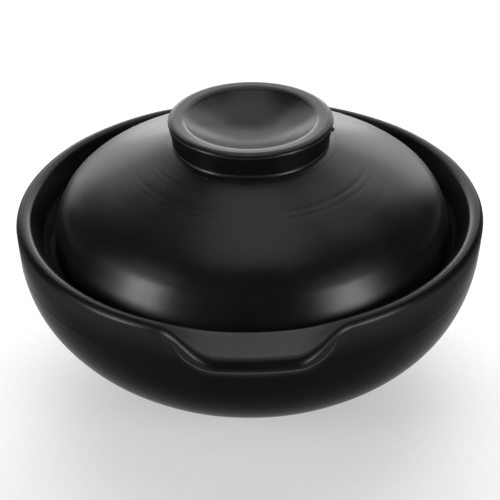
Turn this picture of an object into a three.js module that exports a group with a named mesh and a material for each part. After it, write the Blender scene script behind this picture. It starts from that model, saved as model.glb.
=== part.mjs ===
// A lidded clay cooking pot. The pot is a thick bowl on a low foot ring. Inside its rim a gallery carries
// the lid, and at front and back the rim itself is pulled out and down into two lugs for lifting.
// The lid is a dome with an upright edge, and a wide dished knob is luted to its flat crown.
// Millimetres, +Z up. The origin is the centre of the foot's resting plane, and the lugs face -Y and +Y.
import * as THREE from "three";

// Bowl, foot and rim
const POT_RADIUS = 110; // outside of the rim
const POT_HEIGHT = 80; // resting plane to rim crest
const RIM_THICKNESS = 7.6; // the rim is a full round of this thickness
const WALL_THICKNESS = 9;
const FOOT_RADIUS = 60.5; // outside of the foot ring
const FOOT_WIDTH = 7.5; // foot ring from outside to inside
const FOOT_HEIGHT = 3; // resting plane to where the bowl leaves the foot
const FOOT_RECESS = 2; // hollow under the bowl, inside the foot ring
const FOOT_CHAMFER = 0.8;
const BOWL_BASE_ANGLE = 23.5; // degrees above level, where the bowl leaves the foot
const BOWL_BASE_RUN = 57; // how far the bowl holds that direction (length of the curve's lower handle)
const BOWL_RIM_ANGLE = 3.4; // degrees off upright, where the wall reaches the rim
const BOWL_RIM_RUN = 13; // length of the curve's upper handle
const FLOOR_BLEND = 0.15; // share of the bowl's curve taken up by the round between floor and wall
const INSIDE_BASE_RUN = 12; // length of the inner wall curve's handle at that round
const INSIDE_LEDGE_RUN = 24; // length of its upright handle under the ledge

// Gallery inside the rim
const GALLERY_DEPTH = 17.8; // rim crest to ledge
const GALLERY_FLARE = 7.5; // how much the gallery opens from the ledge to the rim
const LEDGE_WIDTH = 6.5;
const LEDGE_ROUND = 1;

// Lugs. The brow is where a lug's top rolls over into its front face, the lip is the edge below that face.
const LUG_REACH = 10.4; // how far the lip is pulled outwards
const LUG_FALL = 6; // how far it is pulled down
const LUG_DIP = 1; // how far the rim's crest sinks
const LUG_TIP_WIDTH = 33; // along the rim, where the reach is full
const LUG_ROOT_WIDTH = 77; // along the rim, where the reach starts
const FALL_TIP_WIDTH = 54; // along the rim, where the fall is full
const FALL_ROOT_WIDTH = 72; // along the rim, where the fall starts
const DIP_TIP_WIDTH = 40; // along the rim, where the dip is full
const DIP_ROOT_WIDTH = 98; // along the rim, where the dip starts
const LUG_SLOPE = 19.5; // degrees below level of the lug's top
const BROW_TIP_WIDTH = 34; // along the rim, where the brow is full
const BROW_ROOT_WIDTH = 71; // along the rim, where the brow starts
const BROW_REACH = 8.1; // rim crest's centre to the brow's centre, outwards
const BROW_FALL = 6.8; // and down
const BROW_ROUND = 7.5;
const BROW_END = 35; // degrees above level, where the brow's round passes into the front face
const LIP_ROUND = 0.9;
const LIP_FACING = 20; // degrees below level that the front face looks at the lip
const LIP_TURN = 62; // degrees below level that the lip turns under
const LUG_UNDERSIDE = 24; // rim crest to where the underside has run out into the wall
const LUG_LIP_RUN = 6; // length of the underside curve's handle at the lip
const LUG_WALL_RUN = 6; // length of its handle at the wall

// Lid
const LID_CLEARANCE = 1.5; // lid edge to gallery, all round
const LID_HEIGHT = 49.8; // ledge to crown
const LID_THICKNESS = 7;
const LID_SKIRT = 2; // upright stretch at the lid's edge
const LID_EDGE_ROUND = 1;
const LID_CROWN_ANGLE = 25.2; // degrees below level, where the dome leaves the crown
const LID_CROWN_RUN = 43.6; // length of the dome curve's upper handle
const LID_EDGE_RUN = 27.8; // length of its lower handle

// Knob
const KNOB_RADIUS = 38; // outside of the lip
const KNOB_HEIGHT = 13.5; // crown to lip crest
const KNOB_EDGE_ROUND = 1.2; // radius of the lip's outer edge
const KNOB_LIP_OUTER = 4; // radius of the lip's top from that edge to the crest
const KNOB_LIP_INNER = 9; // radius of the lip's top from the crest to the brink of the dish
const KNOB_LIP_SHOULDER = 50; // degrees above level, where the edge's round passes into the top's
const KNOB_BRINK_FALL = 40; // degrees below level, where the lip's top ends
const KNOB_DISH_FALL = 34; // degrees below level, where the dish begins
const KNOB_DISH_RUN = 10.5; // length of the dish curve's handles
const KNOB_FLOOR = 2.9; // clay between the dish's centre and the crown
const KNOB_TAPER = 12; // degrees by which the side leans in from the lip to the foot
const KNOB_FOOT_ROUND = 2.2; // fillet between side and crown
const CROWN_MARGIN = 0.4; // flat crown showing round the knob's foot

// Glaze
const GLAZE_COLOUR = 0x151516;
const GLAZE_ROUGHNESS = 0.4;

// Facets
const POT_SEGMENTS = 92;
const POT_CROWDING = 0.6; // share by which the segments draw together at the lugs
const LID_SEGMENTS = 60;
const KNOB_SEGMENTS = 54;
const FLOOR_STEPS = 4;
const WALL_STEPS = 7;
const RIM_STEPS = 5;
const BROW_STEPS = 3;
const FACE_STEPS = 3;
const UNDERSIDE_STEPS = 4;
const BOWL_STEPS = 9;
const DOME_STEPS = 10;
const CORNER_STEPS = 2;
const FILLET_STEPS = 3;
const EDGE_STEPS = 4;
const LIP_STEPS = 3; // on each of the two rounds of the knob lip's top
const DISH_STEPS = 6;

const { degToRad, lerp, smoothstep } = THREE.MathUtils;
const UP = Math.PI / 2;
const DOWN = -UP;
const INWARDS = Math.PI;
const HALVINGS = 40; // of the search for a place on a curve
const HANDLE_SHARE = 1 / 3; // of the distance between a joining curve's ends

const rimRound = RIM_THICKNESS / 2;
const ledgeHeight = POT_HEIGHT - GALLERY_DEPTH;
const galleryRadius = POT_RADIUS - RIM_THICKNESS - GALLERY_FLARE;
const ledgeRadius = galleryRadius - LEDGE_WIDTH;
const lidRadius = galleryRadius - LID_CLEARANCE;
const crownHeight = ledgeHeight + LID_HEIGHT;
const crestHeight = crownHeight + KNOB_HEIGHT;
const knobShoulder = degToRad(KNOB_LIP_SHOULDER);
const knobTaper = degToRad(KNOB_TAPER);
const knobEdge = knobEdgeCentre();
const knobFillet = knobFilletCentre();
const crownRadius = knobFillet.x + CROWN_MARGIN;

// A point of a cross-section: distance from the axis, and height.
function point(radius, height) {
  return new THREE.Vector2(radius, height);
}

// The point that lies a distance away from another, in a direction given as an angle from level.
function away(from, angle, distance) {
  return point(from.x + distance * Math.cos(angle), from.y + distance * Math.sin(angle));
}

// Points on an arc from one angle to the other, both ends included.
function arc(centre, radius, start, end, steps) {
  return Array.from({ length: steps + 1 }, (_, i) =>
    away(centre, start + ((end - start) * i) / steps, radius),
  );
}

// Points on a curve between two of its parameters, both ends included.
function stretch(pointAt, start, end, steps) {
  return Array.from({ length: steps + 1 }, (_, i) => pointAt(start + ((end - start) * i) / steps));
}

// The point beside a curve, off to the left of its direction.
function beside(curve, t, distance) {
  const direction = curve.getTangent(t);
  return curve.getPoint(t).add(point(-direction.y, direction.x).multiplyScalar(distance));
}

// The curve parameter at which a rising measure of the curve reaches a value.
function parameterWhere(measure, value) {
  let low = 0;
  let high = 1;
  for (let i = 0; i < HALVINGS; i++) {
    const middle = (low + high) / 2;
    if (measure(middle) < value) low = middle;
    else high = middle;
  }
  return (low + high) / 2;
}

// Where a line from a point runs on to a circle, touching it on the line's right: the angle of that contact.
function tangentAngle(from, centre, radius) {
  const toCentre = centre.clone().sub(from);
  return toCentre.angle() + Math.asin(radius / toCentre.length()) + UP;
}

// The bowl's outside, from the foot to the middle of the rim.
const bowlFoot = point(FOOT_RADIUS, FOOT_HEIGHT);
const bowlRim = point(POT_RADIUS, POT_HEIGHT - rimRound);
const bowl = new THREE.CubicBezierCurve(
  bowlFoot,
  away(bowlFoot, degToRad(BOWL_BASE_ANGLE), BOWL_BASE_RUN),
  away(bowlRim, DOWN - degToRad(BOWL_RIM_ANGLE), BOWL_RIM_RUN),
  bowlRim,
);

// Below this place on the bowl the wall is the same all round.
const lugRunOut = parameterWhere((t) => bowl.getPoint(t).y, POT_HEIGHT - LUG_UNDERSIDE);

// The pot's inside from the centre of the floor to the back of the ledge. Its wall leaves the floor at the
// wall's thickness inside the bowl, and comes up upright to the ledge.
function potInside() {
  const floorHeight = beside(bowl, 0, WALL_THICKNESS).y;
  const wallStart = beside(bowl, FLOOR_BLEND, WALL_THICKNESS);
  const slope = bowl.getTangent(FLOOR_BLEND);
  const floorEdge = point(wallStart.x - ((wallStart.y - floorHeight) * slope.x) / slope.y, floorHeight);
  const floor = new THREE.QuadraticBezierCurve(point(0, floorHeight), floorEdge, wallStart);
  const ledgeLip = point(ledgeRadius + LEDGE_ROUND, ledgeHeight - LEDGE_ROUND);
  const wallEnd = away(ledgeLip, INWARDS, LEDGE_ROUND);
  const wall = new THREE.CubicBezierCurve(
    wallStart,
    away(wallStart, slope.angle(), INSIDE_BASE_RUN),
    away(wallEnd, DOWN, INSIDE_LEDGE_RUN),
    wallEnd,
  );
  return [
    ...stretch((t) => floor.getPoint(t), 0, 1, FLOOR_STEPS),
    ...stretch((t) => wall.getPoint(t), 0, 1, WALL_STEPS).slice(1),
    ...arc(ledgeLip, LEDGE_ROUND, INWARDS, UP, CORNER_STEPS).slice(1),
    point(galleryRadius, ledgeHeight),
  ];
}

// A smooth curve from one point to another, with a heading at each end.
function joined(start, heading, end, endHeading) {
  const run = start.distanceTo(end) * HANDLE_SHARE;
  return new THREE.CubicBezierCurve(start, away(start, heading, run), away(end, endHeading, -run), end);
}

// The rim, over its crest and down to where the lugs run out. The shares are 0 on the plain rim and 1 at a
// lug, where the crest has sunk, the top rolls over its brow and the lip reaches out, hangs and turns under.
function rim({ dip, roll, reach, fall }) {
  const crest = point(POT_RADIUS - rimRound, POT_HEIGHT - rimRound - LUG_DIP * dip);
  const brow = crest.clone().add(point(BROW_REACH, -BROW_FALL).multiplyScalar(roll));
  const browRound = lerp(rimRound, BROW_ROUND, roll);
  const inner = tangentAngle(point(galleryRadius, ledgeHeight), crest, rimRound);
  const shoulder = UP - degToRad(LUG_SLOPE);
  const browEnd = degToRad(BROW_END);
  const lip = point(POT_RADIUS + LUG_REACH * reach, crest.y - LUG_FALL * fall);
  const lipRound = lerp(rimRound, LIP_ROUND, fall);
  const facing = -degToRad(LIP_FACING) * fall;
  const turn = -degToRad(lerp(BOWL_RIM_ANGLE, LIP_TURN, fall));
  const face = joined(away(brow, browEnd, browRound), browEnd + DOWN, lip, facing + DOWN);
  const tuck = away(away(lip, facing, -lipRound), turn, lipRound);
  const wall = bowl.getPoint(lugRunOut);
  const underside = new THREE.CubicBezierCurve(
    tuck,
    away(tuck, turn + DOWN, LUG_LIP_RUN),
    away(wall, bowl.getTangent(lugRunOut).angle(), LUG_WALL_RUN),
    wall,
  );
  return [
    ...arc(crest, rimRound, inner, shoulder, RIM_STEPS).slice(0, -1),
    ...arc(brow, browRound, shoulder, browEnd, BROW_STEPS),
    ...stretch((t) => face.getPoint(t), 0, 1, FACE_STEPS).slice(1),
    ...stretch((t) => underside.getPoint(t), 0, 1, UNDERSIDE_STEPS),
  ];
}

// The outside from where the lugs run out down to the foot, and under the foot to the axis.
function potOutside() {
  const footInside = FOOT_RADIUS - FOOT_WIDTH;
  return [
    ...stretch((t) => bowl.getPoint(t), lugRunOut, 0, BOWL_STEPS).slice(1),
    point(FOOT_RADIUS, FOOT_CHAMFER),
    point(FOOT_RADIUS - FOOT_CHAMFER, 0),
    point(footInside + FOOT_CHAMFER, 0),
    point(footInside, FOOT_CHAMFER),
    point(footInside, FOOT_RECESS),
    point(0, FOOT_RECESS),
  ];
}

// A share that is 1 at either lug and 0 between them. The widths, along the rim, say where it is full and
// where it starts, and the angle counts from the front.
function lugShare(angle, tipWidth, rootWidth) {
  const offAxis = Math.asin(Math.abs(Math.sin(angle)));
  const tipAngle = Math.asin(tipWidth / 2 / POT_RADIUS);
  const rootAngle = Math.asin(rootWidth / 2 / POT_RADIUS);
  return 1 - smoothstep(offAxis, tipAngle, rootAngle);
}

function lugShares(angle) {
  return {
    dip: lugShare(angle, DIP_TIP_WIDTH, DIP_ROOT_WIDTH),
    roll: lugShare(angle, BROW_TIP_WIDTH, BROW_ROOT_WIDTH),
    reach: lugShare(angle, LUG_TIP_WIDTH, LUG_ROOT_WIDTH),
    fall: lugShare(angle, FALL_TIP_WIDTH, FALL_ROOT_WIDTH),
  };
}

// The solid that a cross-section sweeps round the axis while it changes with the angle. Every section has
// the same number of points, and starts and ends on the axis.
function sweptSolid(sectionAt, angles) {
  const sections = angles.map(sectionAt);
  const last = sections[0].length - 1;
  const positions = [0, 0, sections[0][0].y, 0, 0, sections[0][last].y];
  angles.forEach((angle, i) => {
    for (const { x, y } of sections[i].slice(1, last)) {
      positions.push(x * Math.sin(angle), -x * Math.cos(angle), y);
    }
  });
  const topPole = 0;
  const bottomPole = 1;
  const vertex = (i, j) => 2 + (i % angles.length) * (last - 1) + (j - 1);
  const triangles = [];
  for (let i = 0; i < angles.length; i++) {
    triangles.push(topPole, vertex(i, 1), vertex(i + 1, 1));
    for (let j = 1; j < last - 1; j++) {
      triangles.push(vertex(i, j), vertex(i, j + 1), vertex(i + 1, j + 1));
      triangles.push(vertex(i, j), vertex(i + 1, j + 1), vertex(i + 1, j));
    }
    triangles.push(bottomPole, vertex(i + 1, last - 1), vertex(i, last - 1));
  }
  const solid = new THREE.BufferGeometry();
  solid.setAttribute("position", new THREE.Float32BufferAttribute(positions, 3));
  solid.setIndex(triangles);
  solid.computeVertexNormals();
  return solid;
}

// A solid of revolution about +Z.
function turned(profile, segments) {
  return new THREE.LatheGeometry(profile, segments).rotateX(UP);
}

function potBody() {
  const inside = potInside();
  const outside = potOutside();
  const angles = Array.from({ length: POT_SEGMENTS }, (_, i) => {
    const even = (2 * Math.PI * i) / POT_SEGMENTS;
    return even - (POT_CROWDING / 2) * Math.sin(2 * even);
  });
  return sweptSolid((angle) => [...inside, ...rim(lugShares(angle)), ...outside], angles);
}

// The dome, from the axis under the crown, down the inside, round the edge and back over the outside.
function lid() {
  const crownEdge = point(crownRadius, crownHeight);
  const skirtTop = point(lidRadius, ledgeHeight + LID_SKIRT);
  const dome = new THREE.CubicBezierCurve(
    skirtTop,
    away(skirtTop, UP, LID_EDGE_RUN),
    away(crownEdge, -degToRad(LID_CROWN_ANGLE), LID_CROWN_RUN),
    crownEdge,
  );
  const insideAt = (t) => beside(dome, t, LID_THICKNESS);
  const outerCorner = point(lidRadius - LID_EDGE_ROUND, ledgeHeight + LID_EDGE_ROUND);
  const innerCorner = point(lidRadius - LID_THICKNESS + LID_EDGE_ROUND, ledgeHeight + LID_EDGE_ROUND);
  return [
    point(0, insideAt(1).y),
    ...stretch(insideAt, 1, 0, DOME_STEPS),
    ...arc(innerCorner, LID_EDGE_ROUND, -INWARDS, DOWN, CORNER_STEPS),
    ...arc(outerCorner, LID_EDGE_ROUND, DOWN, 0, CORNER_STEPS),
    ...stretch((t) => dome.getPoint(t), 0, 1, DOME_STEPS),
    point(0, crownHeight),
  ];
}

// The centre of the round at the knob lip's outer edge.
function knobEdgeCentre() {
  const rise = (KNOB_LIP_OUTER - KNOB_EDGE_ROUND) * Math.sin(knobShoulder);
  return point(KNOB_RADIUS - KNOB_EDGE_ROUND, crestHeight - KNOB_LIP_OUTER + rise);
}

// The centre of the fillet round the knob's foot. The knob's side touches this round and the lip's edge.
function knobFilletCentre() {
  const besideEdge = away(knobEdge, -knobTaper, KNOB_EDGE_ROUND + KNOB_FOOT_ROUND);
  const fall = besideEdge.y - crownHeight - KNOB_FOOT_ROUND;
  return away(besideEdge, DOWN - knobTaper, fall / Math.cos(knobTaper));
}

// The knob, from the axis along its flat foot, up the side, over the lip and down into the dish.
function knob() {
  const outerTop = away(knobEdge, knobShoulder + Math.PI, KNOB_LIP_OUTER - KNOB_EDGE_ROUND);
  const innerTop = point(outerTop.x, crestHeight - KNOB_LIP_INNER);
  const brinkTurn = UP + degToRad(KNOB_BRINK_FALL);
  const brink = away(innerTop, brinkTurn, KNOB_LIP_INNER);
  const dishHeight = crownHeight + KNOB_FLOOR;
  const dish = new THREE.CubicBezierCurve(
    brink,
    away(brink, INWARDS + degToRad(KNOB_DISH_FALL), KNOB_DISH_RUN),
    point(KNOB_DISH_RUN, dishHeight),
    point(0, dishHeight),
  );
  return [
    point(0, crownHeight),
    ...arc(knobFillet, KNOB_FOOT_ROUND, DOWN, -INWARDS - knobTaper, FILLET_STEPS),
    ...arc(knobEdge, KNOB_EDGE_ROUND, -knobTaper, knobShoulder, EDGE_STEPS),
    ...arc(outerTop, KNOB_LIP_OUTER, knobShoulder, UP, LIP_STEPS).slice(1),
    ...arc(innerTop, KNOB_LIP_INNER, UP, brinkTurn, LIP_STEPS).slice(1),
    ...stretch((t) => dish.getPoint(t), 0, 1, DISH_STEPS).slice(1),
  ];
}

function glazedClay() {
  return new THREE.MeshStandardMaterial({ color: GLAZE_COLOUR, roughness: GLAZE_ROUGHNESS, metalness: 0 });
}

const pieces = {
  pot_body: potBody(),
  lid: turned(lid(), LID_SEGMENTS),
  lid_knob: turned(knob(), KNOB_SEGMENTS),
};

const donabe = new THREE.Group();
for (const [name, geometry] of Object.entries(pieces)) {
  const mesh = new THREE.Mesh(geometry, glazedClay());
  mesh.name = name;
  donabe.add(mesh);
}

export default donabe;
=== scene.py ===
"""A lidded clay cooking pot in satin black glaze, on a pale studio floor. Metres, +Z up."""
import math

import bmesh
import bpy
import numpy as np
from mathutils import Matrix, Vector, noise


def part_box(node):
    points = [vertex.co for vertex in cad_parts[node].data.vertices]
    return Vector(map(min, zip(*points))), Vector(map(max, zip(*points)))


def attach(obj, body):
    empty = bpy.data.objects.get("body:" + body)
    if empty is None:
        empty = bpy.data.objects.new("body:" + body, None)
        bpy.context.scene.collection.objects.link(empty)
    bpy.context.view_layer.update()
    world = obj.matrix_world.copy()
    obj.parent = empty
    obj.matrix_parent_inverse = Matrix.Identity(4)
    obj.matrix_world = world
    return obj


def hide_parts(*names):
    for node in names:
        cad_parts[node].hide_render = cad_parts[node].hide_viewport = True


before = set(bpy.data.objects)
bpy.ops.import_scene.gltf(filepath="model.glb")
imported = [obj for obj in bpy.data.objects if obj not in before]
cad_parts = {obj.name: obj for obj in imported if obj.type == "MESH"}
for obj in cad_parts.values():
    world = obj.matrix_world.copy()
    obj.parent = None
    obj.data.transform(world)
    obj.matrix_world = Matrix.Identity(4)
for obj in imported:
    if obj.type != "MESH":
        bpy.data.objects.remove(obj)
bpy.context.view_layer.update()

MM = 0.001
UP = math.pi / 2
DOWN = -UP
INWARDS = math.pi

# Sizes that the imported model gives
POT_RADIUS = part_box("pot_body")[1].x
POT_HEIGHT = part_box("pot_body")[1].z
LEDGE_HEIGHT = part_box("lid")[0].z
LID_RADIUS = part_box("lid")[1].x
CROWN_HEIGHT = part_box("lid")[1].z
KNOB_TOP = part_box("lid_knob")[1].z
KNOB_FOOT_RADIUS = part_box("lid_knob")[1].y

# Bowl, foot and rim
RIM_ROUND = 3.8 * MM
RIM_TOP = math.radians(12)
WALL_THICKNESS = 9 * MM
FOOT_RADIUS = 60.5 * MM
FOOT_WIDTH = 7.5 * MM
FOOT_HEIGHT = 3 * MM
FOOT_SIDE = 2.2 * MM
FOOT_RECESS = 2 * MM
FOOT_EDGE = 0.8 * MM
BOWL_BASE_ANGLE = math.radians(23.5)
BOWL_BASE_RUN = 57 * MM
BOWL_RIM_ANGLE = math.radians(3.4)
BOWL_RIM_RUN = 13 * MM
INSIDE_BASE_RUN = 12 * MM
INSIDE_LEDGE_RUN = 24 * MM

# Where the floor and the foot run into the bowl, as shares of its outer curve
FLOOR_BLEND = 0.15
FOOT_BLEND = 0.02
FOOT_BLEND_HANDLE = 0.006

# Gallery, with the lengths up its wall at which the section has points
GALLERY_FLARE = 7.5 * MM
GALLERY_CORNER = 1.2 * MM
GALLERY_LENGTHS = (2 * MM, 3.5 * MM, 5.5 * MM, 8 * MM, 10.5 * MM)
LEDGE_WIDTH = 6.5 * MM
LEDGE_ROUND = 1 * MM

# Lugs. The brow is where the top rolls over into the front face, the lip is the edge below that face.
LUG_DIP = 1 * MM
LUG_DIP_WIDTHS = (40 * MM, 98 * MM)
LUG_ROLL_WIDTHS = (30 * MM, 81 * MM)
LUG_REACH_WIDTHS = (30 * MM, 81 * MM)
LUG_FALL_WIDTHS = (54 * MM, 72 * MM)
LUG_WIDTHS = (LUG_DIP_WIDTHS, LUG_ROLL_WIDTHS, LUG_REACH_WIDTHS, LUG_FALL_WIDTHS)
LUG_BROW_MOVE = (10.7 * MM, -5.5 * MM)
LUG_BROW_ROUND = 5.5 * MM
LUG_BROW_END = math.radians(35)
LUG_LIP_REACH = 12.2 * MM
LUG_LIP_FALL = 4.3 * MM
LUG_SLOPE = math.radians(19)
LUG_HOLLOW = math.radians(3.5)
LUG_EDGE_ROUND = 0.9 * MM
LUG_EDGE_START = math.radians(14)
LUG_TURN = math.radians(62)
LUG_UNDERSIDE = 24 * MM
LUG_LIP_RUN = 6 * MM
LUG_WALL_RUN = 6 * MM

# Lid. Its flank leans out in front and behind, and the angles off that line say where the lean ends.
LID_THICKNESS = 7 * MM
LID_SKIRT = 2 * MM
LID_EDGE_ROUND = 1 * MM
LID_EDGE_RUN = 28.8 * MM
LID_CROWN_ANGLE = math.radians(25.2)
LID_CROWN_RUN = 43.6 * MM
LID_INSIDE_END = 0.97
CROWN_MARGIN = 0.4 * MM
LID_SHOULDER = 22 * MM
LID_FLANK_FOOT = 10 * MM
LID_FLANK_FLARE = 2.4 * MM
LID_FLANK_LEAN = math.radians(30)
LID_FLANK_ANGLES = (math.radians(52), math.radians(80))

# Knob
KNOB_RADIUS = 38 * MM
KNOB_EDGE_ROUND = 1.2 * MM
KNOB_LIP_OUTER = 4 * MM
KNOB_LIP_FLAT = 2.4 * MM
KNOB_LIP_FALL = math.radians(4)
KNOB_LIP_INNER = 4.5 * MM
KNOB_LIP_SHOULDER = math.radians(50)
KNOB_BRINK_FALL = math.radians(40)
KNOB_DISH_FALL = math.radians(34)
KNOB_DISH_RUN = 10.5 * MM
KNOB_FLOOR = 2.9 * MM
KNOB_TAPER = math.radians(12)
KNOB_FOOT_ROUND = 1.6 * MM
KNOB_SLIP = 0.5 * MM
KNOB_SINK = 0.05 * MM

# Hand-made irregularity. It fades out over the ranges of height, where the pieces rest on each other.
LEAN = math.radians(0.76)
LEAN_HEIGHTS = (30 * MM, 60 * MM)
LID_SHIFT = 1.3 * MM
UNEVENNESS = 0.12 * MM
UNEVENNESS_SCALE = 38
POT_PATCHES = Vector((3, 1, 7))
LID_PATCHES = Vector((9, 4, 2))
KNOB_PATCHES = Vector((5, 8, 1))
POT_UNEVEN_FROM = (4 * MM, 20 * MM)
LID_UNEVEN_FROM = (1 * MM, 12 * MM)
KNOB_UNEVEN_FROM = (0, 3 * MM)
KNOB_MARGIN = 4 * MM

# Throwing rings. A groove has a radius, a depth and a width. The wall has one low ridge beside the lugs.
LID_RINGS = [
    (43.5 * MM, 0.02 * MM, 0.7 * MM),
    (46 * MM, 0.03 * MM, 0.8 * MM),
    (49 * MM, 0.02 * MM, 0.9 * MM),
    (54.5 * MM, 0.06 * MM, 1.0 * MM),
    (57.5 * MM, 0.04 * MM, 0.9 * MM),
    (66 * MM, 0.02 * MM, 1.8 * MM),
]
DISH_RINGS = [
    (12 * MM, 0.02 * MM, 0.9 * MM),
    (20 * MM, 0.03 * MM, 1.2 * MM),
    (25 * MM, 0.02 * MM, 1.0 * MM),
]
LID_RING_FACING = 0.2
DISH_RING_FACING = 0.5
RING_WANDER = 0.3 * MM
RING_WANDER_PHASE = 900
RING_FADE = 0.25
RING_FADE_PHASE = 400
WALL_RING_HEIGHT = 60.5 * MM
WALL_RING_RISE = 0.1 * MM
WALL_RING_WIDTH = 0.9 * MM
WALL_RING_ENDS = (45 * MM, 75 * MM)

# Frozen drop of glaze on the knob, and swellings with a centre, a height and a width, the first in the dish
KNOB_DROP = Vector((37.6 * MM, 1 * MM, CROWN_HEIGHT + 5.2 * MM))
KNOB_DROP_RADIUS = 1.1 * MM
KNOB_SWELLINGS = [
    (Vector((-1.5 * MM, -1 * MM, CROWN_HEIGHT + KNOB_FLOOR)), 0.3 * MM, 3.6 * MM),
    (Vector((-1.4 * MM, -37 * MM, CROWN_HEIGHT + 7.5 * MM)), 0.3 * MM, 0.7 * MM),
    (Vector((5.5 * MM, -36.6 * MM, CROWN_HEIGHT + 7 * MM)), 0.2 * MM, 0.8 * MM),
    (Vector((17.9 * MM, -33.2 * MM, CROWN_HEIGHT + 10.6 * MM)), 0.35 * MM, 0.8 * MM),
]

# Where the clay is bare: heights over the ground, either side of the ledge and over the lid's foot
FOOT_BARE = 2.1 * MM
LEDGE_BARE = 0.3 * MM
LID_BARE = 0.8 * MM

# Share of grey: worn glaze with a painted sheen on the lug's top, a painted highlight on its lower edge,
# painted light in the gallery
LUG_TOP_WEAR_AND_SHEEN = 0.33
LUG_EDGE_HIGHLIGHT = 0.6
GALLERY_PAINTED_LIGHT = 0.12

# Depths below the rim's top at which the outer wall's own gloss begins and is full
WALL_TOP = (3 * MM, 18 * MM)

# Mesh resolution: turns round the axis, steps along a section, and a level disc's radii as shares
POT_SEGMENTS = 400
LID_SEGMENTS = 360
KNOB_SEGMENTS = 480
LUG_EDGE_STEPS = 7
LUG_TOP_STEPS = 11
CREST_WEAR_AND_SHEEN_STEPS = 6
GALLERY_PAINTED_LIGHT_STEPS = 9
CURVE_STEPS = 2000
DROP_SUBDIVISIONS = 3
FROM_AXIS = (0, 0.3, 0.6, 0.9, 1)
TO_AXIS = (0.9, 0.6, 0.3, 0)
UNDER_CROWN = (0, 0.25, 0.5, 0.75, 0.92)


def point(radius, height):
    return np.array((radius, height))


def away(start, angle, distance):
    return start + distance * np.array((math.cos(angle), math.sin(angle)))


def arc(centre, radius, start, end, steps):
    return [away(centre, angle, radius) for angle in np.linspace(start, end, steps + 1)]


def disc(radius, height, shares):
    """A level stretch between the axis and a radius."""
    return [point(radius * share, height) for share in shares]


class Bezier:
    """A cubic curve through the ends of its four points."""

    def __init__(self, *points):
        self.points = points

    def at(self, t):
        a, b, c, d = self.points
        s = 1 - t
        return s**3 * a + 3 * s * s * t * b + 3 * s * t * t * c + t**3 * d

    def direction(self, t):
        a, b, c, d = self.points
        s = 1 - t
        slope = s * s * (b - a) + 2 * s * t * (c - b) + t * t * (d - c)
        return slope / np.linalg.norm(slope)

    def heading(self, t):
        x, y = self.direction(t)
        return math.atan2(y, x)

    def beside(self, t, distance):
        x, y = self.direction(t)
        return self.at(t) + distance * np.array((-y, x))

    def stretch(self, start, end, steps):
        return [self.at(t) for t in np.linspace(start, end, steps + 1)]

    def share_at(self, height):
        """The share of a rising curve at which it reaches a height."""
        shares = np.linspace(0, 1, CURVE_STEPS + 1)
        return np.interp(height, [self.at(t)[1] for t in shares], shares)


def join(start, heading, end, end_heading):
    """A smooth curve from one point to another, with its heading at both."""
    handle = np.linalg.norm(end - start) / 3
    return Bezier(start, away(start, heading, handle), away(end, end_heading, -handle), end)


def blend(plain, pulled, pull):
    return plain + (pulled - plain) * pull


def smoothstep(value, low, high):
    t = np.clip((value - low) / (high - low), 0, 1)
    return t * t * (3 - 2 * t)


def bell(distance, width):
    return np.exp(-((distance / width) ** 2))


# Pot

bowl_foot = point(FOOT_RADIUS, FOOT_HEIGHT)
bowl_rim = point(POT_RADIUS, POT_HEIGHT - RIM_ROUND)
bowl = Bezier(
    bowl_foot,
    away(bowl_foot, BOWL_BASE_ANGLE, BOWL_BASE_RUN),
    away(bowl_rim, DOWN - BOWL_RIM_ANGLE, BOWL_RIM_RUN),
    bowl_rim,
)
lug_run_out = bowl.share_at(POT_HEIGHT - LUG_UNDERSIDE)
gallery_radius = POT_RADIUS - 2 * RIM_ROUND - GALLERY_FLARE
ledge_radius = gallery_radius - LEDGE_WIDTH


def pot_inside():
    """From the centre of the floor up the wall and over the ledge."""
    floor_height = bowl.beside(0, WALL_THICKNESS)[1]
    wall_start = bowl.beside(FLOOR_BLEND, WALL_THICKNESS)
    heading = bowl.heading(FLOOR_BLEND)
    floor_edge = point(wall_start[0] - (wall_start[1] - floor_height) / math.tan(heading), floor_height)
    centre = point(0, floor_height)
    floor = Bezier(
        centre,
        centre + (floor_edge - centre) * 2 / 3,
        wall_start + (floor_edge - wall_start) * 2 / 3,
        wall_start,
    )
    ledge_lip = point(ledge_radius + LEDGE_ROUND, LEDGE_HEIGHT - LEDGE_ROUND)
    wall_end = away(ledge_lip, INWARDS, LEDGE_ROUND)
    wall = Bezier(
        wall_start,
        away(wall_start, heading, INSIDE_BASE_RUN),
        away(wall_end, DOWN, INSIDE_LEDGE_RUN),
        wall_end,
    )
    return (
        floor.stretch(0, 1, 24)
        + wall.stretch(0, 1, 20)[1:]
        + arc(ledge_lip, LEDGE_ROUND, INWARDS, UP, 5)[1:]
    )


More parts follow.
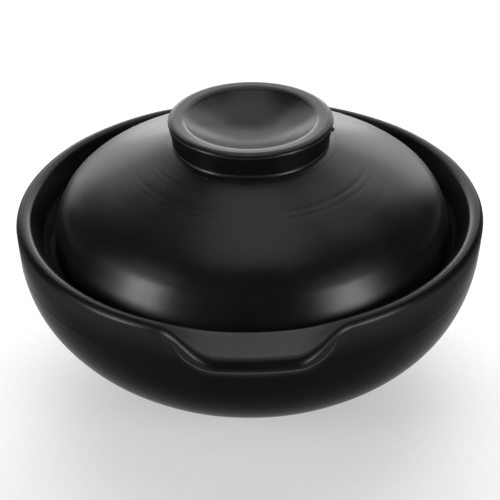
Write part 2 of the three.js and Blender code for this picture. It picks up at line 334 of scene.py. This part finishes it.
def rim(dip, roll, reach, fall):
    """From the ledge's back corner up the gallery, over the crest and down to where the lugs run out."""
    corner = point(gallery_radius, LEDGE_HEIGHT)
    crest = point(POT_RADIUS - RIM_ROUND, POT_HEIGHT - RIM_ROUND - LUG_DIP * dip)
    brow = crest + roll * np.array(LUG_BROW_MOVE)
    brow_round = blend(RIM_ROUND, LUG_BROW_ROUND, roll)
    lip = point(POT_RADIUS + LUG_LIP_REACH * reach, crest[1] - LUG_LIP_FALL * fall)
    edge_round = blend(RIM_ROUND, LUG_EDGE_ROUND, fall)
    edge_start = LUG_EDGE_START * fall
    edge = away(lip, edge_start, -edge_round)
    turn = -blend(BOWL_RIM_ANGLE, LUG_TURN, fall)
    across = crest - corner
    gallery_angle = math.atan2(across[1], across[0]) + math.asin(RIM_ROUND / np.linalg.norm(across))
    crest_end = UP - blend(-RIM_TOP, LUG_SLOPE + LUG_HOLLOW, roll)
    brow_start = UP - blend(RIM_TOP, LUG_SLOPE - LUG_HOLLOW, roll)
    top_start = away(crest, crest_end, RIM_ROUND)
    top_end = away(brow, brow_start, brow_round)
    top = join(top_start, crest_end + DOWN, top_end, brow_start + DOWN)
    face = join(away(brow, LUG_BROW_END, brow_round), LUG_BROW_END + DOWN, lip, edge_start + DOWN)
    tuck = away(edge, turn, edge_round)
    wall = bowl.at(lug_run_out)
    underside = Bezier(
        tuck,
        away(tuck, turn + DOWN, LUG_LIP_RUN),
        away(wall, bowl.heading(lug_run_out), LUG_WALL_RUN),
        wall,
    )
    gallery = Bezier(
        away(corner, INWARDS, GALLERY_CORNER),
        corner,
        corner,
        away(corner, gallery_angle, GALLERY_CORNER),
    )
    gallery_side = (
        gallery.stretch(0, 1, 5)
        + [away(corner, gallery_angle, length) for length in GALLERY_LENGTHS]
        + arc(crest, RIM_ROUND, gallery_angle + UP, crest_end, 14)
    )
    top_side = top.stretch(0, 1, LUG_TOP_STEPS + 1)[1:-1]
    front_side = arc(brow, brow_round, brow_start, LUG_BROW_END, 10) + face.stretch(0, 1, 12)[1:]
    edge_side = arc(edge, edge_round, edge_start, turn, LUG_EDGE_STEPS)[1:]
    return gallery_side, top_side, front_side, edge_side, underside.stretch(0, 1, 30)[1:]


def pot_outside():
    """From where the lugs run out down to the foot, and under the foot to the axis."""
    foot_inside = FOOT_RADIUS - FOOT_WIDTH
    outer_edge = point(FOOT_RADIUS - FOOT_EDGE, FOOT_EDGE)
    inner_edge = point(foot_inside + FOOT_EDGE, FOOT_EDGE)
    recess_edge = point(foot_inside - FOOT_EDGE, FOOT_RECESS - FOOT_EDGE)
    foot_side = point(FOOT_RADIUS, FOOT_SIDE)
    into_foot = Bezier(bowl.at(FOOT_BLEND), bowl.at(FOOT_BLEND_HANDLE), bowl_foot, foot_side)
    return (
        bowl.stretch(lug_run_out, FOOT_BLEND, 48)[1:]
        + into_foot.stretch(0, 1, 5)[1:]
        + arc(outer_edge, FOOT_EDGE, 0, DOWN, 5)
        + [point((FOOT_RADIUS + foot_inside) / 2, 0)]
        + arc(inner_edge, FOOT_EDGE, DOWN, -INWARDS, 5)
        + arc(recess_edge, FOOT_EDGE, 0, UP, 4)
        + disc(foot_inside, FOOT_RECESS, TO_AXIS)
    )


def lug_share(angle, widths):
    """1 at either lug, 0 between them, with an easy change from one width along the rim to the other."""
    off_axis = math.asin(abs(math.sin(angle)))
    full, none = (math.asin(width / 2 / POT_RADIUS) for width in widths)
    return 1 - smoothstep(off_axis, full, none)


def pot_sections(angles):
    """The section at each angle, and at each of its points the share of grey: painted light low in the
    gallery, worn glaze with a painted sheen on the lug's top and a painted highlight over its lower edge."""
    inside = pot_inside()
    outside = pot_outside()
    # Across the lug's lower edge, the profile of a painted highlight, lightest in the middle of its round
    edge_highlight_profile = np.sin(np.linspace(0, math.pi, LUG_EDGE_STEPS + 2)[1:-1])
    sections = []
    wear_and_painted_light = []
    for angle in angles:
        shares = [lug_share(angle, widths) for widths in LUG_WIDTHS]
        stretches = [inside, *rim(*shares), outside]
        worn_and_painted_share = [np.zeros(len(stretch)) for stretch in stretches]
        _, gallery_light_and_crest_wear, top_wear_and_sheen, _, lip_painted_highlight, _, _ = worn_and_painted_share
        # Painted light low in the gallery: a lighter grey that lifts the dark gap beside the lid
        gallery_light_and_crest_wear[:GALLERY_PAINTED_LIGHT_STEPS] = GALLERY_PAINTED_LIGHT
        # The crest's end and the lug's top go grey: thinner glaze together with a painted sheen for the
        # overhead light they mirror
        gallery_light_and_crest_wear[-CREST_WEAR_AND_SHEEN_STEPS:] = LUG_TOP_WEAR_AND_SHEEN * shares[1]
        top_wear_and_sheen += LUG_TOP_WEAR_AND_SHEEN * shares[1]
        # A painted highlight along the lug's lower edge
        lip_painted_highlight += LUG_EDGE_HIGHLIGHT * edge_highlight_profile * shares[3]
        sections.append(sum(stretches, []))
        wear_and_painted_light.append(np.concatenate(worn_and_painted_share))
    return np.array(sections), np.array(wear_and_painted_light)


# Lid and knob

crown_edge = point(KNOB_FOOT_RADIUS + CROWN_MARGIN, CROWN_HEIGHT)
skirt_top = point(LID_RADIUS, LEDGE_HEIGHT + LID_SKIRT)
dome = Bezier(
    skirt_top,
    away(skirt_top, UP, LID_EDGE_RUN),
    away(crown_edge, -LID_CROWN_ANGLE, LID_CROWN_RUN),
    crown_edge,
)
dome_line = np.array(dome.stretch(0, 1, CURVE_STEPS))


def lid_section():
    """From the axis under the crown, down the inside, round the edge and back over the outside."""
    shoulder = dome.share_at(LEDGE_HEIGHT + LID_SHOULDER)
    flank_foot = point(LID_RADIUS + LID_FLANK_FLARE, LEDGE_HEIGHT + LID_FLANK_FOOT)
    tuck = join(skirt_top, UP, flank_foot, UP + LID_FLANK_LEAN)
    flank = join(flank_foot, UP + LID_FLANK_LEAN, dome.at(shoulder), dome.heading(shoulder))
    edge_height = LEDGE_HEIGHT + LID_EDGE_ROUND
    outer_corner = point(LID_RADIUS - LID_EDGE_ROUND, edge_height)
    inner_corner = point(LID_RADIUS - LID_THICKNESS + LID_EDGE_ROUND, edge_height)
    under_crown = dome.beside(1, LID_THICKNESS)
    return (
        disc(*under_crown, UNDER_CROWN)
        + [dome.beside(t, LID_THICKNESS) for t in np.linspace(LID_INSIDE_END, 0, 40)]
        + arc(inner_corner, LID_EDGE_ROUND, -INWARDS, DOWN, 5)
        + arc(outer_corner, LID_EDGE_ROUND, DOWN, 0, 5)
        + tuck.stretch(0, 1, 16)[1:]
        + flank.stretch(0, 1, 40)[1:]
        + dome.stretch(shoulder, 1, 150)[1:]
        + disc(*crown_edge, TO_AXIS)
    )


def corner_centre(start, heading, other, other_heading):
    """Where a line from one point meets a line from another."""
    along = np.array((math.cos(heading), math.sin(heading)))
    across = np.array((-math.sin(other_heading), math.cos(other_heading)))
    return start + along * np.dot(other - start, across) / np.dot(along, across)


def knob_section():
    """From the axis along the flat foot, up the side, over the lip and down into the dish."""
    rise = (KNOB_LIP_OUTER - KNOB_EDGE_ROUND) * math.sin(KNOB_LIP_SHOULDER)
    edge = point(KNOB_RADIUS - KNOB_EDGE_ROUND, KNOB_TOP - KNOB_LIP_OUTER + rise)
    outer_top = away(edge, KNOB_LIP_SHOULDER + math.pi, KNOB_LIP_OUTER - KNOB_EDGE_ROUND)
    lip_turn = UP + KNOB_LIP_FALL
    lip_end = away(away(outer_top, lip_turn, KNOB_LIP_OUTER), lip_turn + UP, KNOB_LIP_FLAT)
    inner_top = away(lip_end, lip_turn, -KNOB_LIP_INNER)
    side_top = away(edge, -KNOB_TAPER, KNOB_EDGE_ROUND)
    fillet = corner_centre(
        away(side_top, -KNOB_TAPER, KNOB_FOOT_ROUND),
        DOWN - KNOB_TAPER,
        away(crown_edge, UP - LID_CROWN_ANGLE, KNOB_FOOT_ROUND),
        -LID_CROWN_ANGLE,
    )
    side_foot = away(fillet, -INWARDS - KNOB_TAPER, KNOB_FOOT_ROUND)
    slip_end = away(crown_edge, -LID_CROWN_ANGLE, KNOB_SLIP)
    brink_turn = UP + KNOB_BRINK_FALL
    brink = away(inner_top, brink_turn, KNOB_LIP_INNER)
    dish_height = CROWN_HEIGHT + KNOB_FLOOR
    dish = Bezier(
        brink,
        away(brink, INWARDS + KNOB_DISH_FALL, KNOB_DISH_RUN),
        point(KNOB_DISH_RUN, dish_height),
        point(0, dish_height),
    )
    return (
        disc(slip_end[0], slip_end[1] - KNOB_SINK, FROM_AXIS)
        + [slip_end, crown_edge]
        + arc(fillet, KNOB_FOOT_ROUND, DOWN - LID_CROWN_ANGLE, -INWARDS - KNOB_TAPER, 8)
        + [blend(side_foot, side_top, share) for share in np.linspace(0, 1, 14)[1:-1]]
        + arc(edge, KNOB_EDGE_ROUND, -KNOB_TAPER, KNOB_LIP_SHOULDER, 10)
        + arc(outer_top, KNOB_LIP_OUTER, KNOB_LIP_SHOULDER, lip_turn, 8)[1:]
        + arc(inner_top, KNOB_LIP_INNER, lip_turn, brink_turn, 12)
        + dish.stretch(0, 1, 50)[1:]
    )


# Meshes


def turn_angles(segments):
    return np.linspace(0, 2 * math.pi, segments, endpoint=False)


def swept_piece(name, sections, angles):
    """A closed mesh from one section for each angle. Every section starts and ends on the axis."""
    turns, count = sections.shape[:2]
    inner = sections[:, 1:-1]
    x = inner[:, :, 0] * np.sin(angles)[:, None]
    y = -inner[:, :, 0] * np.cos(angles)[:, None]
    ring = np.stack((x, y, inner[:, :, 1]), axis=2).reshape(-1, 3)
    poles = np.array(((0, 0, sections[0, 0, 1]), (0, 0, sections[0, -1, 1])))
    across = count - 2
    first, last = len(ring), len(ring) + 1
    faces = []
    for i in range(turns):
        here, following = i * across, (i + 1) % turns * across
        faces.append((first, here, following))
        faces.extend((here + j, here + j + 1, following + j + 1, following + j) for j in range(across - 1))
        faces.append((last, following + across - 1, here + across - 1))
    mesh = bpy.data.meshes.new(name)
    mesh.from_pydata(np.vstack((ring, poles)), [], faces)
    mesh.polygons.foreach_set("use_smooth", np.ones(len(faces), bool))
    piece = bpy.data.objects.new(name, mesh)
    bpy.context.scene.collection.objects.link(piece)
    return piece


def lathe_piece(name, section, segments):
    """A turned piece from a section that starts below and ends above, so that its faces look outwards."""
    from_above = np.array(section[::-1])
    return swept_piece(name, np.repeat(from_above[None], segments, axis=0), turn_angles(segments))


def coordinates(piece):
    values = np.empty(len(piece.data.vertices) * 3)
    piece.data.vertices.foreach_get("co", values)
    return values.reshape(-1, 3)


def normals(piece):
    values = np.empty(len(piece.data.vertices) * 3)
    piece.data.vertices.foreach_get("normal", values)
    return values.reshape(-1, 3)


def move_to(piece, places):
    piece.data.vertices.foreach_set("co", np.ascontiguousarray(places, np.float32).ravel())
    piece.data.update()


def mark(piece, name, values):
    """Keeps a number for each vertex, for the glaze to read."""
    numbers = piece.data.attributes.new(name, "FLOAT", "POINT").data
    numbers.foreach_set("value", np.asarray(values, np.float32))


def off_axis_radius(places):
    return np.hypot(places[:, 0], places[:, 1])


# Hand-made forms


def lean(places):
    """The pot's rim leans a little to one side over its level foot."""
    share = smoothstep(places[:, 2], *LEAN_HEIGHTS)
    leaning = places.copy()
    leaning[:, 2] += places[:, 0] * math.tan(LEAN) * share
    return leaning


def seat(places):
    """The lid lies on the leaning ledge, pushed a little to one side of its play."""
    seated = places.copy()
    rise = places[:, 2] - LEDGE_HEIGHT
    seated[:, 0] = places[:, 0] * math.cos(LEAN) - rise * math.sin(LEAN) + LID_SHIFT
    seated[:, 2] = LEDGE_HEIGHT + rise * math.cos(LEAN) + places[:, 0] * math.sin(LEAN)
    return seated


def stand_up_sides(places):
    """The lid's flank leans out in front and behind. At the sides it follows the dome down."""
    radius = off_axis_radius(places)
    off_axis = np.arcsin(np.clip(abs(places[:, 0]) / np.maximum(radius, MM), 0, 1))
    beyond_dome = np.maximum(radius - np.interp(places[:, 2], dome_line[:, 1], dome_line[:, 0]), 0)
    pull = beyond_dome * smoothstep(off_axis, *LID_FLANK_ANGLES) * (radius > crown_edge[0])
    upright = places.copy()
    upright[:, :2] *= 1 - (pull / np.maximum(radius, MM))[:, None]
    return upright


def uneven(places, patches):
    """How far hand-formed clay stands out or in at each place."""
    return np.array([noise.noise(Vector(p) * UNEVENNESS_SCALE + patches) for p in places]) * UNEVENNESS


def throwing_rings(places, rings):
    """Shallow grooves round the axis that wander and fade a little on their way round."""
    radius = off_axis_radius(places)
    angle = np.arctan2(places[:, 1], places[:, 0])
    depth = np.zeros(len(places))
    for ring_radius, ring_depth, ring_width in rings:
        wander = RING_WANDER * np.sin(angle + ring_radius * RING_WANDER_PHASE)
        fade = 1 - RING_FADE + RING_FADE * np.sin(2 * angle + ring_radius * RING_FADE_PHASE)
        depth -= ring_depth * fade * bell(radius - ring_radius - wander, ring_width)
    return depth


def wall_ring(places):
    """A low ridge round the outer wall that runs out before the lugs."""
    beside_lugs = smoothstep(abs(places[:, 0]), *WALL_RING_ENDS)
    return WALL_RING_RISE * bell(places[:, 2] - WALL_RING_HEIGHT, WALL_RING_WIDTH) * beside_lugs


def swelling(places, centre, height, width):
    return height * np.exp(-(((places - centre) ** 2).sum(axis=1)) / width**2)


def add_drop(piece, centre, radius):
    """A drop of glaze that has frozen on the surface."""
    form = bmesh.new()
    form.from_mesh(piece.data)
    drop = bmesh.ops.create_icosphere(
        form, subdivisions=DROP_SUBDIVISIONS, radius=radius, matrix=Matrix.Translation(centre)
    )
    for vertex in drop["verts"]:
        for face in vertex.link_faces:
            face.smooth = True
    form.to_mesh(piece.data)
    form.free()


# Pieces


def make_pot():
    angles = turn_angles(POT_SEGMENTS)
    sections, wear_and_painted_light = pot_sections(angles)
    pot = swept_piece("glazed_pot", sections, angles)
    places = coordinates(pot)
    normal = normals(pot)
    height = places[:, 2]
    on_ledge = (abs(height - LEDGE_HEIGHT) < LEDGE_BARE) & (off_axis_radius(places) < gallery_radius)
    outwards = (normal * places)[:, :2].sum(axis=1) > 0
    below_top = 1 - smoothstep(height, POT_HEIGHT - WALL_TOP[1], POT_HEIGHT - WALL_TOP[0])
    out = uneven(places, POT_PATCHES) * smoothstep(height, *POT_UNEVEN_FROM) * ~on_ledge
    out += wall_ring(places) * outwards
    mark(pot, "bare", (height < FOOT_BARE) | on_ledge)
    # Grey of wear and painted light: sheen on the lug tops, highlight on their lower edges, light low in the
    # gallery
    mark(pot, "wear_and_painted_light", np.append(wear_and_painted_light[:, 1:-1].ravel(), (0, 0)))
    mark(pot, "wall", below_top * outwards)
    move_to(pot, lean(places + normal * out[:, None]))
    return pot


def make_lid():
    lid = lathe_piece("glazed_lid", lid_section(), LID_SEGMENTS)
    move_to(lid, stand_up_sides(coordinates(lid)))
    places = coordinates(lid)
    normal = normals(lid)
    over_ledge = places[:, 2] - LEDGE_HEIGHT
    beside_knob = off_axis_radius(places) - crown_edge[0] - KNOB_SLIP
    out = uneven(places, LID_PATCHES) * smoothstep(over_ledge, *LID_UNEVEN_FROM)
    out += throwing_rings(places, LID_RINGS) * (normal[:, 2] > LID_RING_FACING)
    out *= smoothstep(beside_knob, 0, KNOB_MARGIN)
    mark(lid, "bare", over_ledge < LID_BARE)
    for name in ("wear_and_painted_light", "wall"):
        mark(lid, name, np.zeros(len(places)))
    move_to(lid, seat(places + normal * out[:, None]))
    return lid


def make_knob():
    knob = lathe_piece("glazed_knob", knob_section(), KNOB_SEGMENTS)
    places = coordinates(knob)
    normal = normals(knob)
    out = uneven(places, KNOB_PATCHES) * smoothstep(places[:, 2] - CROWN_HEIGHT, *KNOB_UNEVEN_FROM)
    out += throwing_rings(places, DISH_RINGS) * (normal[:, 2] > DISH_RING_FACING)
    for centre, height, width in KNOB_SWELLINGS:
        out += swelling(places, centre, height, width)
    move_to(knob, places + normal * out[:, None])
    add_drop(knob, KNOB_DROP, KNOB_DROP_RADIUS)
    places = coordinates(knob)
    for name in ("bare", "wear_and_painted_light", "wall"):
        mark(knob, name, np.zeros(len(places)))
    move_to(knob, seat(places))
    return knob


# Materials

WHITE = (1, 1, 1, 1)

# Share of gloss, seen straight on and at a grazing angle, and the power by which the second one fades
POT_GLOSS = 0.017
LID_GLOSS = 0.024
KNOB_GLOSS = 0.028
WALL_GLOSS = 0.0055
GRAZING_GLOSS = 0.06
LID_GRAZING_GLOSS = 0.09
WALL_GRAZING_GLOSS = 0.4
GRAZING_POWER = 8
WALL_GRAZING_POWER = 6.8

# Noise: scale, detail and roughness
CLOUDS = (45, 4, 0.6)
SPECKS = (1500, 1, 0.4)
FINE_SKIN = (420, 2, 0.5)
BROAD_SKIN = (110, 1, 0.5)
CLAY_GRAIN = (900, 3, 0.6)
PAPER_GRAIN = (300, 3, 0.5)
CLOUD_SHARE = 0.6

# Relief that the noise makes: depth and strength
FINE_SKIN_RELIEF = (0.04 * MM, 0.35)
BROAD_SKIN_RELIEF = (0.12 * MM, 0.3)
CLAY_RELIEF = (0.2 * MM, 0.4)

# Colours: two levels of the noise, each with its colour
BLACK_TONES = ((0.3, (0.0022, 0.0022, 0.0023)), (0.72, (0.0052, 0.0051, 0.0051)))
CLAY_TONES = ((0.3, (0.005, 0.0047, 0.0044)), (0.7, (0.012, 0.011, 0.0105)))
# Grey of worn glaze, also used for painted light: a sheen on the lug tops, a highlight on their edges, light
# in the gallery
GREY_WEAR_AND_LIGHT_TONES = ((0.3, (0.1, 0.098, 0.096)), (0.7, (0.13, 0.127, 0.124)))
PAPER_TONES = ((0.3, (0.8, 0.8, 0.8)), (0.7, (0.83, 0.83, 0.83)))

# Roughness, and the share of the grey of wear and painted light that is left: two levels of the noise, then
# the value at each
GLOSS_ROUGHNESS = (0.3, 0.7, 0.27, 0.35)
CLAY_ROUGHNESS = (0.3, 0.7, 0.75, 0.9)
GREY_WEAR_AND_LIGHT_ROUGHNESS = (0.3, 0.7, 0.5, 0.65)
WEAR_AND_LIGHT_LEFT = (0.35, 0.6, 0.8, 1)
BLACK_ROUGHNESS = 0.6
PAPER_ROUGHNESS = 0.8

# Specular level
BLACK_SPECULAR = 0
CLAY_SPECULAR = 0.05
GREY_WEAR_AND_LIGHT_SPECULAR = 0.25
PAPER_SPECULAR = 0.1


class Nodes:
    """A short way to add and link shader nodes."""

    def __init__(self, tree):
        self.tree = tree
        tree.nodes.clear()

    def add(self, kind, **settings):
        node = self.tree.nodes.new(kind)
        for name, value in settings.items():
            setattr(node, name, value)
        return node

    def link(self, source, target):
        self.tree.links.new(source, target)

    def math(self, operation, first, second):
        node = self.add("ShaderNodeMath", operation=operation)
        for socket, value in zip(node.inputs, (first, second)):
            if isinstance(value, (int, float)):
                socket.default_value = value
            else:
                self.link(value, socket)
        return node.outputs[0]

    def place(self):
        return self.add("ShaderNodeTexCoord").outputs["Object"]

    def attribute(self, name):
        return self.add("ShaderNodeAttribute", attribute_name=name).outputs["Fac"]

    def noise(self, place, scale, detail, roughness):
        node = self.add("ShaderNodeTexNoise")
        node.inputs["Scale"].default_value = scale
        node.inputs["Detail"].default_value = detail
        node.inputs["Roughness"].default_value = roughness
        self.link(place, node.inputs["Vector"])
        return node.outputs["Fac"]

    def ramp(self, factor, stops):
        node = self.add("ShaderNodeValToRGB")
        for element, (position, colour) in zip(node.color_ramp.elements, stops):
            element.position = position
            element.color = (*colour, 1)
        self.link(factor, node.inputs["Fac"])
        return node.outputs["Color"]

    def spread(self, value, low, high, to_low, to_high):
        node = self.add("ShaderNodeMapRange")
        node.inputs["From Min"].default_value = low
        node.inputs["From Max"].default_value = high
        node.inputs["To Min"].default_value = to_low
        node.inputs["To Max"].default_value = to_high
        self.link(value, node.inputs["Value"])
        return node.outputs["Result"]

    def bump(self, height, distance, strength, normal=None):
        node = self.add("ShaderNodeBump")
        node.inputs["Strength"].default_value = strength
        node.inputs["Distance"].default_value = distance
        self.link(height, node.inputs["Height"])
        if normal is not None:
            self.link(normal, node.inputs["Normal"])
        return node.outputs["Normal"]

    def principled(self, colour, specular):
        node = self.add("ShaderNodeBsdfPrincipled")
        node.inputs["Specular IOR Level"].default_value = specular
        self.link(colour, node.inputs["Base Color"])
        return node

    def glow(self, kind, strength):
        """A white emission or background."""
        node = self.add(kind)
        node.inputs["Color"].default_value = WHITE
        node.inputs["Strength"].default_value = strength
        return node

    def mix(self, share, first, second):
        node = self.add("ShaderNodeMixShader")
        self.link(share, node.inputs["Fac"])
        self.link(first.outputs[0], node.inputs[1])
        self.link(second.outputs[0], node.inputs[2])
        return node

    def output(self, shader, kind="ShaderNodeOutputMaterial"):
        self.link(shader.outputs[0], self.add(kind).inputs["Surface"])


def new_material(name):
    material = bpy.data.materials.new(name)
    material.use_nodes = True
    return material, Nodes(material.node_tree)


def gloss_share(n, straight_share, grazing_share):
    """How much the glaze shines. The outer wall, where the attribute wall is 1, has values of its own."""
    wall = n.attribute("wall")
    facing = n.add("ShaderNodeLayerWeight").outputs["Facing"]
    grazing = n.math("POWER", facing, n.spread(wall, 0, 1, GRAZING_POWER, WALL_GRAZING_POWER))
    grazing = n.math("MULTIPLY", grazing, n.spread(wall, 0, 1, grazing_share, WALL_GRAZING_GLOSS))
    return n.math("ADD", grazing, n.spread(wall, 0, 1, straight_share, WALL_GLOSS))


def satin_black(n, place, tone, share):
    """Black below a satin gloss, with a fine orange-peel skin."""
    skin = n.bump(n.noise(place, *FINE_SKIN), *FINE_SKIN_RELIEF)
    skin = n.bump(n.noise(place, *BROAD_SKIN), *BROAD_SKIN_RELIEF, skin)
    black = n.principled(n.ramp(tone, BLACK_TONES), BLACK_SPECULAR)
    black.inputs["Roughness"].default_value = BLACK_ROUGHNESS
    gloss = n.add("ShaderNodeBsdfAnisotropic")
    gloss.inputs["Color"].default_value = WHITE
    n.link(n.spread(tone, *GLOSS_ROUGHNESS), gloss.inputs["Roughness"])
    for shader in (black, gloss):
        n.link(skin, shader.inputs["Normal"])
    return n.mix(share, black, gloss)


def bare_clay(n, place, cloud, speck):
    clay = n.principled(n.ramp(speck, CLAY_TONES), CLAY_SPECULAR)
    n.link(n.spread(cloud, *CLAY_ROUGHNESS), clay.inputs["Roughness"])
    n.link(n.bump(n.noise(place, *CLAY_GRAIN), *CLAY_RELIEF), clay.inputs["Normal"])
    return clay


# Grey worn glaze that also carries painted light on the lugs and low in the gallery
def grey_wear_and_light_glaze(n, cloud, speck):
    worn = n.principled(n.ramp(speck, GREY_WEAR_AND_LIGHT_TONES), GREY_WEAR_AND_LIGHT_SPECULAR)
    n.link(n.spread(cloud, *GREY_WEAR_AND_LIGHT_ROUGHNESS), worn.inputs["Roughness"])
    return worn


def glaze(name, straight_share, grazing_share):
    """Satin black glaze, a little cloudy in gloss. It goes grey where the attribute for wear and painted
    light says so, and where the attribute bare is 1 the clay has none."""
    material, n = new_material(name)
    place = n.place()
    cloud = n.noise(place, *CLOUDS)
    speck = n.noise(place, *SPECKS)
    tone = n.math("ADD", n.math("MULTIPLY", cloud, CLOUD_SHARE), n.math("MULTIPLY", speck, 1 - CLOUD_SHARE))
    black = satin_black(n, place, tone, gloss_share(n, straight_share, grazing_share))
    # Grey where the glaze is worn and where light is painted on: lug sheen, lug edge highlight and gallery
    # light
    worn_and_painted_share = n.math("MULTIPLY", n.attribute("wear_and_painted_light"), n.spread(cloud, *WEAR_AND_LIGHT_LEFT))
    glazed = n.mix(worn_and_painted_share, black, grey_wear_and_light_glaze(n, cloud, speck))
    n.output(n.mix(n.attribute("bare"), glazed, bare_clay(n, place, cloud, speck)))
    return material


# Stage

# The floor's own glow grows from a share near the pot to all of it, between two distances
FLOOR_RADIUS = 9
FLOOR_VERTICES = 96
FLOOR_GLOW = 0.4
FLOOR_GLOW_DISTANCES = (0.45, 1.3)
WORLD_FILL = 0.06
ROOM_RADIUS = 2.6
ROOM_GLOW = 0.06


def seen_rays(n):
    """1 for rays from the camera and for mirrored and refracted rays."""
    path = n.add("ShaderNodeLightPath").outputs
    mirrored = n.math("MAXIMUM", path["Is Glossy Ray"], path["Is Transmission Ray"])
    return n.math("MAXIMUM", path["Is Camera Ray"], mirrored)


def make_floor():
    """A wide pale floor that goes over into a white surround far from the pot."""
    bpy.ops.mesh.primitive_circle_add(vertices=FLOOR_VERTICES, radius=FLOOR_RADIUS, fill_type="NGON")
    floor = bpy.context.object
    floor.name = "floor"
    material, n = new_material("pale_floor")
    place = n.place()
    distance = n.add("ShaderNodeVectorMath", operation="LENGTH")
    n.link(place, distance.inputs[0])
    glow_share = n.spread(distance.outputs["Value"], *FLOOR_GLOW_DISTANCES, FLOOR_GLOW, 1)
    paper = n.principled(n.ramp(n.noise(place, *PAPER_GRAIN), PAPER_TONES), PAPER_SPECULAR)
    paper.inputs["Roughness"].default_value = PAPER_ROUGHNESS
    white = n.glow("ShaderNodeEmission", 1)
    n.output(n.mix(n.math("MULTIPLY", glow_share, seen_rays(n)), paper, white))
    floor.data.materials.append(material)


def make_world():
    """White where it is seen, and a dim fill for all other light."""
    world = bpy.data.worlds.new("white_surround")
    bpy.context.scene.world = world
    world.use_nodes = True
    n = Nodes(world.node_tree)
    fill = n.glow("ShaderNodeBackground", WORLD_FILL)
    white = n.glow("ShaderNodeBackground", 1)
    n.output(n.mix(seen_rays(n), fill, white), "ShaderNodeOutputWorld")


def make_room():
    """The dim room that the glaze mirrors between the softboxes."""
    bpy.ops.mesh.primitive_uv_sphere_add(segments=64, ring_count=32, radius=ROOM_RADIUS)
    room = bpy.context.object
    room.name = "dim_room"
    material, n = new_material("dim_wall")
    n.output(n.glow("ShaderNodeEmission", ROOM_GLOW))
    room.data.materials.append(material)
    room.visible_camera = False
    room.visible_diffuse = False
    room.visible_shadow = False


# A softbox of 4 watts per square metre has a radiance of 1
LIGHT_CENTRE = Vector((0, 0, 80 * MM))
LIGHT_DISTANCE = 1.1
WATTS_PER_RADIANCE = 4

# Name, then as seen from the pot the bearing from straight behind to the right, the rise, the width and the
# height in degrees, and last the radiance
SOFTBOXES = [
    ("back_low", 0, 8, 34, 24, 17),
    ("back_low_right", 28, 8, 23, 24, 7.5),
    ("back_low_left", -26, 8, 18, 24, 7),
    ("back_far_left", -39, 5, 8, 18, 4),
    ("back_high", 0, 31, 36, 22, 4.2),
    ("back_high_right", 34, 36, 15, 25, 3.3),
    ("back_high_left", -31, 36, 13, 23, 2.9),
    ("upper", 0, 52, 40, 18, 0.8),
    ("upper_right", 46, 58, 18, 12, 1.3),
    ("top", 0, 69, 34, 16, 1.3),
    ("zenith", 0, 87, 32, 20, 1.1),
    ("left_key", -117, 18, 18, 19, 11),
    ("left_glow", -110, 40, 24, 20, 1.1),
    ("right_key", 128, 18, 21, 19, 9.5),
    ("right_glow", 120, 40, 24, 20, 0.8),
    ("left_side", -96, 20, 18, 20, 0.6),
]


def softbox(name, bearing, rise, width, height, radiance):
    """A rectangular area light that faces the pot and isn't seen itself."""
    turn, lift = math.radians(bearing), math.radians(rise)
    way = Vector((math.sin(turn) * math.cos(lift), math.cos(turn) * math.cos(lift), math.sin(lift)))
    light = bpy.data.lights.new(name, "AREA")
    light.shape = "RECTANGLE"
    light.size = 2 * LIGHT_DISTANCE * math.tan(math.radians(width / 2))
    light.size_y = 2 * LIGHT_DISTANCE * math.tan(math.radians(height / 2))
    light.energy = WATTS_PER_RADIANCE * radiance * light.size * light.size_y
    lamp = bpy.data.objects.new(name, light)
    lamp.location = LIGHT_CENTRE + way * LIGHT_DISTANCE
    lamp.rotation_euler = (-way).to_track_quat("-Z", "Y").to_euler()
    lamp.visible_camera = False
    bpy.context.scene.collection.objects.link(lamp)


def make_lights():
    for box in SOFTBOXES:
        softbox(*box)


VIEW_RISE = math.radians(30.6)
VIEW_BEARING = math.radians(-1.2)
VIEW_DISTANCE = 715 * MM
VIEW_CLIP = (0.05, 50)
RIM_CENTRE = Vector((0, 0, POT_HEIGHT - RIM_ROUND))
AIM = Vector((0.2 * MM, 0, 53 * MM))
LENS = 108.34
SENSOR = 36


def make_camera():
    data = bpy.data.cameras.new("camera")
    data.lens = LENS
    data.sensor_width = SENSOR
    data.clip_start, data.clip_end = VIEW_CLIP
    camera = bpy.data.objects.new("camera", data)
    level = math.cos(VIEW_RISE)
    back = Vector((math.sin(VIEW_BEARING) * level, -math.cos(VIEW_BEARING) * level, math.sin(VIEW_RISE)))
    camera.location = RIM_CENTRE + back * VIEW_DISTANCE
    camera.rotation_euler = (AIM - camera.location).to_track_quat("-Z", "Y").to_euler()
    bpy.context.scene.collection.objects.link(camera)
    bpy.context.scene.camera = camera


def dress(piece, node, body, material):
    piece.data.materials.append(material)
    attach(piece, body)
    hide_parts(node)


pot_glaze = glaze("black_glaze_pot", POT_GLOSS, GRAZING_GLOSS)
lid_glaze = glaze("black_glaze_lid", LID_GLOSS, LID_GRAZING_GLOSS)
knob_glaze = glaze("black_glaze_knob", KNOB_GLOSS, GRAZING_GLOSS)
make_camera()
dress(make_pot(), "pot_body", "pot", pot_glaze)
dress(make_lid(), "lid", "lid_with_knob", lid_glaze)
dress(make_knob(), "lid_knob", "lid_with_knob", knob_glaze)
make_floor()
make_room()
make_world()
make_lights()
bpy.context.scene.view_settings.view_transform = "Standard"
